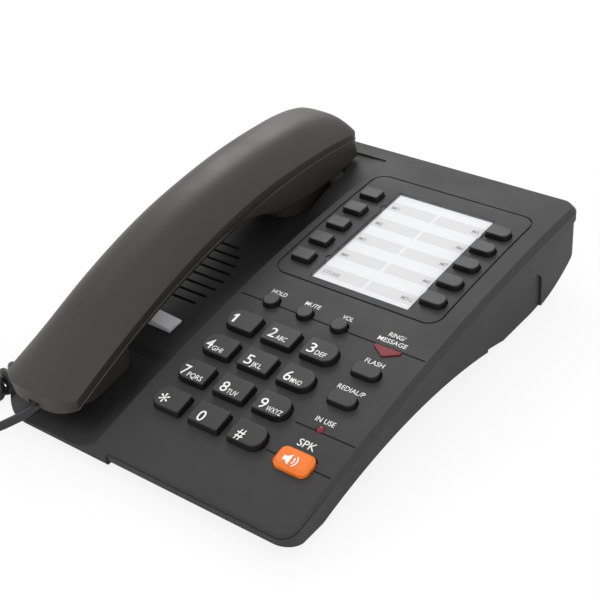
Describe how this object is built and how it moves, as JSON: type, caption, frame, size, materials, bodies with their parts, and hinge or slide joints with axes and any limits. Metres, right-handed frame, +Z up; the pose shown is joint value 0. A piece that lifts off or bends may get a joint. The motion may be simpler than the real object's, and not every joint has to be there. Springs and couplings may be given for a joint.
{
  "type": "corded desk telephone",
  "caption": "Corded hotel desk phone: wedge base with sprung keys, index card, lamps and speaker key, a lift-off handset in its cradle, a hook plunger and a curly cord.",
  "frame": {"origin": "centre of the base's bounding box on the desk", "axes": "+X to the user's right, +Y from the user to the rear, +Z up"},
  "size_m": [0.1866, 0.2418, 0.0701],
  "materials": {
    "body_plastic": "fine satin grain",
    "tub_plastic": "fine satin grain",
    "handset_plastic": "satin",
    "key_plastic": "satin with printed characters",
    "speaker_key_plastic": "satin",
    "hook_plastic": "satin",
    "card_paper": "printed paper",
    "clear_plastic": "clear",
    "red_lens": "tinted clear",
    "rubber": "matt",
    "membrane_rubber": "matt",
    "board_laminate": "solder resist",
    "steel": "zinc plated",
    "socket_plastic": "satin",
    "cord_plastic": "flexible PVC, satin",
    "plug_plastic": "clear"
  },
  "bodies": {
    "base": {"base_top_cover": "body_plastic", "base_bottom_cover": "tub_plastic", "index_card": "card_paper", "index_cover": "clear_plastic", "ring_indicator_lens": "red_lens", "in_use_led": "red_lens", "keypad_board": "board_laminate", "keypad_membrane": "membrane_rubber", "memory_board": "board_laminate", "memory_membrane": "membrane_rubber", "main_board": "board_laminate", "loudspeaker": "steel", "handsfree_microphone": "steel", "line_socket": "socket_plastic", "base_jack": "socket_plastic", "base_plug": "plug_plastic", "base_screws": "steel", "rubber_feet": "rubber", "hook_switch": "socket_plastic", "handset_cord_curl": "cord_plastic", "cord_handset_lead": "cord_plastic", "cord_base_lead": "cord_plastic"},
    "handset": {"handset_top_shell": "handset_plastic", "handset_bottom_shell": "handset_plastic", "handset_screws": "steel", "receiver_capsule": "steel", "handset_microphone": "steel", "handset_weight": "steel", "handset_jack": "socket_plastic", "handset_plug": "plug_plastic"},
    "hook_plunger": {"hook_plunger": "hook_plastic"},
    "key_1": {"key_1": "key_plastic"},
    "key_2": {"key_2": "key_plastic"},
    "key_3": {"key_3": "key_plastic"},
    "key_4": {"key_4": "key_plastic"},
    "key_5": {"key_5": "key_plastic"},
    "key_6": {"key_6": "key_plastic"},
    "key_7": {"key_7": "key_plastic"},
    "key_8": {"key_8": "key_plastic"},
    "key_9": {"key_9": "key_plastic"},
    "key_star": {"key_star": "key_plastic"},
    "key_0": {"key_0": "key_plastic"},
    "key_hash": {"key_hash": "key_plastic"},
    "key_memory_1": {"key_memory_1": "key_plastic"},
    "key_memory_6": {"key_memory_6": "key_plastic"},
    "key_memory_2": {"key_memory_2": "key_plastic"},
    "key_memory_7": {"key_memory_7": "key_plastic"},
    "key_memory_3": {"key_memory_3": "key_plastic"},
    "key_memory_8": {"key_memory_8": "key_plastic"},
    "key_memory_4": {"key_memory_4": "key_plastic"},
    "key_memory_9": {"key_memory_9": "key_plastic"},
    "key_memory_5": {"key_memory_5": "key_plastic"},
    "key_memory_10": {"key_memory_10": "key_plastic"},
    "key_hold": {"key_hold": "key_plastic"},
    "key_mute": {"key_mute": "key_plastic"},
    "key_volume": {"key_volume": "key_plastic"},
    "key_flash": {"key_flash": "key_plastic"},
    "key_redial": {"key_redial": "key_plastic"},
    "key_speaker": {"key_speaker": "speaker_key_plastic"}
  },
  "joints": [
    {"name": "handset_lift", "type": "slide", "parent": "base", "child": "handset", "axis": [0, 0, 1], "range_m": [0, 0.08]},
    {"name": "hook_rise", "type": "slide", "parent": "base", "child": "hook_plunger", "axis": [0, 0, 1], "range_m": [0, 0.003]},
    {"name": "key_1_press", "type": "slide", "parent": "base", "child": "key_1", "axis": [0, 0.1733, -0.9849], "range_m": [0, 0.0012], "stiffness_N_per_m": 400, "springref_m": -0.001},
    {"name": "key_2_press", "type": "slide", "parent": "base", "child": "key_2", "axis": [0, 0.1733, -0.9849], "range_m": [0, 0.0012], "stiffness_N_per_m": 400, "springref_m": -0.001},
    {"name": "key_3_press", "type": "slide", "parent": "base", "child": "key_3", "axis": [0, 0.1733, -0.9849], "range_m": [0, 0.0012], "stiffness_N_per_m": 400, "springref_m": -0.001},
    {"name": "key_4_press", "type": "slide", "parent": "base", "child": "key_4", "axis": [0, 0.1923, -0.9813], "range_m": [0, 0.0012], "stiffness_N_per_m": 400, "springref_m": -0.001},
    {"name": "key_5_press", "type": "slide", "parent": "base", "child": "key_5", "axis": [0, 0.1923, -0.9813], "range_m": [0, 0.0012], "stiffness_N_per_m": 400, "springref_m": -0.001},
    {"name": "key_6_press", "type": "slide", "parent": "base", "child": "key_6", "axis": [0, 0.1923, -0.9813], "range_m": [0, 0.0012], "stiffness_N_per_m": 400, "springref_m": -0.001},
    {"name": "key_7_press", "type": "slide", "parent": "base", "child": "key_7", "axis": [0, 0.2113, -0.9774], "range_m": [0, 0.0012], "stiffness_N_per_m": 400, "springref_m": -0.001},
    {"name": "key_8_press", "type": "slide", "parent": "base", "child": "key_8", "axis": [0, 0.2113, -0.9774], "range_m": [0, 0.0012], "stiffness_N_per_m": 400, "springref_m": -0.001},
    {"name": "key_9_press", "type": "slide", "parent": "base", "child": "key_9", "axis": [0, 0.2113, -0.9774], "range_m": [0, 0.0012], "stiffness_N_per_m": 400, "springref_m": -0.001},
    {"name": "key_star_press", "type": "slide", "parent": "base", "child": "key_star", "axis": [0, 0.2301, -0.9732], "range_m": [0, 0.0012], "stiffness_N_per_m": 400, "springref_m": -0.001},
    {"name": "key_0_press", "type": "slide", "parent": "base", "child": "key_0", "axis": [0, 0.2301, -0.9732], "range_m": [0, 0.0012], "stiffness_N_per_m": 400, "springref_m": -0.001},
    {"name": "key_hash_press", "type": "slide", "parent": "base", "child": "key_hash", "axis": [0, 0.2301, -0.9732], "range_m": [0, 0.0012], "stiffness_N_per_m": 400, "springref_m": -0.001},
    {"name": "key_memory_1_press", "type": "slide", "parent": "base", "child": "key_memory_1", "axis": [0, 0.0528, -0.9986], "range_m": [0, 0.0012], "stiffness_N_per_m": 400, "springref_m": -0.001},
    {"name": "key_memory_6_press", "type": "slide", "parent": "base", "child": "key_memory_6", "axis": [0, 0.0528, -0.9986], "range_m": [0, 0.0012], "stiffness_N_per_m": 400, "springref_m": -0.001},
    {"name": "key_memory_2_press", "type": "slide", "parent": "base", "child": "key_memory_2", "axis": [0, 0.0688, -0.9976], "range_m": [0, 0.0012], "stiffness_N_per_m": 400, "springref_m": -0.001},
    {"name": "key_memory_7_press", "type": "slide", "parent": "base", "child": "key_memory_7", "axis": [0, 0.0688, -0.9976], "range_m": [0, 0.0012], "stiffness_N_per_m": 400, "springref_m": -0.001},
    {"name": "key_memory_3_press", "type": "slide", "parent": "base", "child": "key_memory_3", "axis": [0, 0.0847, -0.9964], "range_m": [0, 0.0012], "stiffness_N_per_m": 400, "springref_m": -0.001},
    {"name": "key_memory_8_press", "type": "slide", "parent": "base", "child": "key_memory_8", "axis": [0, 0.0847, -0.9964], "range_m": [0, 0.0012], "stiffness_N_per_m": 400, "springref_m": -0.001},
    {"name": "key_memory_4_press", "type": "slide", "parent": "base", "child": "key_memory_4", "axis": [0, 0.1007, -0.9949], "range_m": [0, 0.0012], "stiffness_N_per_m": 400, "springref_m": -0.001},
    {"name": "key_memory_9_press", "type": "slide", "parent": "base", "child": "key_memory_9", "axis": [0, 0.1007, -0.9949], "range_m": [0, 0.0012], "stiffness_N_per_m": 400, "springref_m": -0.001},
    {"name": "key_memory_5_press", "type": "slide", "parent": "base", "child": "key_memory_5", "axis": [0, 0.1166, -0.9932], "range_m": [0, 0.0012], "stiffness_N_per_m": 400, "springref_m": -0.001},
    {"name": "key_memory_10_press", "type": "slide", "parent": "base", "child": "key_memory_10", "axis": [0, 0.1166, -0.9932], "range_m": [0, 0.0012], "stiffness_N_per_m": 400, "springref_m": -0.001},
    {"name": "key_hold_press", "type": "slide", "parent": "base", "child": "key_hold", "axis": [0, 0.1537, -0.9881], "range_m": [0, 0.0012], "stiffness_N_per_m": 400, "springref_m": -0.001},
    {"name": "key_mute_press", "type": "slide", "parent": "base", "child": "key_mute", "axis": [0, 0.1537, -0.9881], "range_m": [0, 0.0012], "stiffness_N_per_m": 400, "springref_m": -0.001},
    {"name": "key_volume_press", "type": "slide", "parent": "base", "child": "key_volume", "axis": [0, 0.1537, -0.9881], "range_m": [0, 0.0012], "stiffness_N_per_m": 400, "springref_m": -0.001},
    {"name": "key_flash_press", "type": "slide", "parent": "base", "child": "key_flash", "axis": [0, 0.1721, -0.9851], "range_m": [0, 0.0012], "stiffness_N_per_m": 400, "springref_m": -0.001},
    {"name": "key_redial_press", "type": "slide", "parent": "base", "child": "key_redial", "axis": [0, 0.1917, -0.9814], "range_m": [0, 0.0012], "stiffness_N_per_m": 400, "springref_m": -0.001},
    {"name": "key_speaker_press", "type": "slide", "parent": "base", "child": "key_speaker", "axis": [0, 0.2314, -0.9729], "range_m": [0, 0.0012], "stiffness_N_per_m": 400, "springref_m": -0.001}
  ],
  "couplings": [
    {"joint": "hook_rise", "follows": "handset_lift", "ratio": 0.0375}
  ]
}
